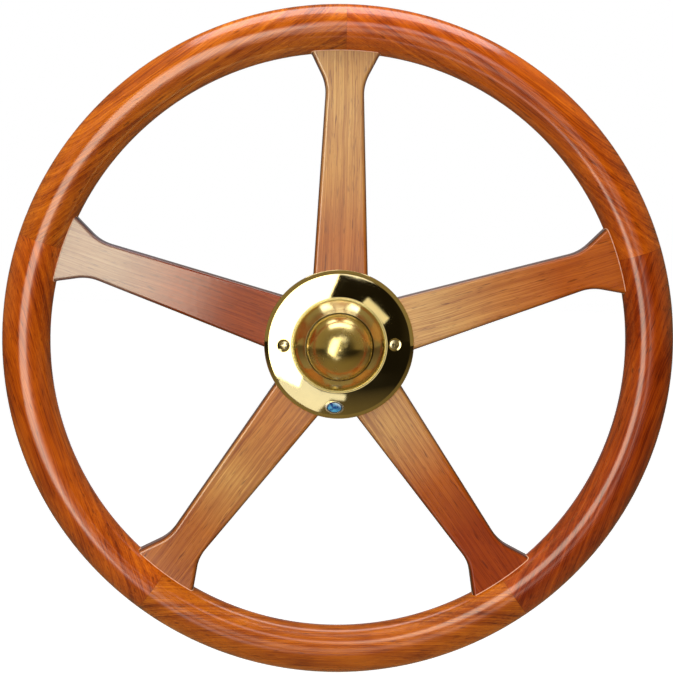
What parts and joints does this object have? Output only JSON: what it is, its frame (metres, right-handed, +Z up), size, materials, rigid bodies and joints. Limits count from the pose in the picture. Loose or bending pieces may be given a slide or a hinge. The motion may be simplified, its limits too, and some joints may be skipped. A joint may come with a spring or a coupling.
{
  "type": "boat steering wheel",
  "caption": "Round-section wooden rim on flat flared wooden spokes, clamped in a turned brass hub with a keyed shaft bore and a pull-off domed cap",
  "frame": {"origin": "on the shaft's axis, in the middle plane of the rim, inside the shaft bore", "axes": "+Y along the axis towards the helm, so the wheel's front faces -Y; +Z up, along the first spoke; +X to the right as seen from the front"},
  "size_m": [0.45, 0.0757, 0.45],
  "materials": {
    "rim_teak": "gloss varnish over teak",
    "spoke_teak": "satin varnish over teak",
    "dowel_wood": "raw",
    "hub_brass": "turned, satin",
    "polished_brass": "mirror polish",
    "dome_brass": "soft polish",
    "flange_screw_brass": "polished",
    "clamp_screw_steel": "plain",
    "seal_rubber": "matte",
    "badge_enamel": "plain blue enamel, unmarked"
  },
  "bodies": {
    "wheel": {"rim_felloe_1": "rim_teak", "rim_felloe_2": "rim_teak", "rim_felloe_3": "rim_teak", "rim_felloe_4": "rim_teak", "rim_felloe_5": "rim_teak", "spoke_1": "spoke_teak", "spoke_2": "spoke_teak", "spoke_3": "spoke_teak", "spoke_4": "spoke_teak", "spoke_5": "spoke_teak", "rim_dowels": "dowel_wood", "hub_body": "hub_brass", "back_plate": "hub_brass", "clamp_screws": "clamp_screw_steel", "front_flange": "polished_brass", "flange_screws": "flange_screw_brass", "collar_ring": "polished_brass", "badge_blank": "badge_enamel"},
    "cap": {"dome_cap": "dome_brass", "cap_seal": "seal_rubber"}
  },
  "joints": [
    {"name": "cap_pull", "type": "slide", "parent": "wheel", "child": "cap", "axis": [0, -1, 0], "range_m": [0, 0.04]}
  ]
}
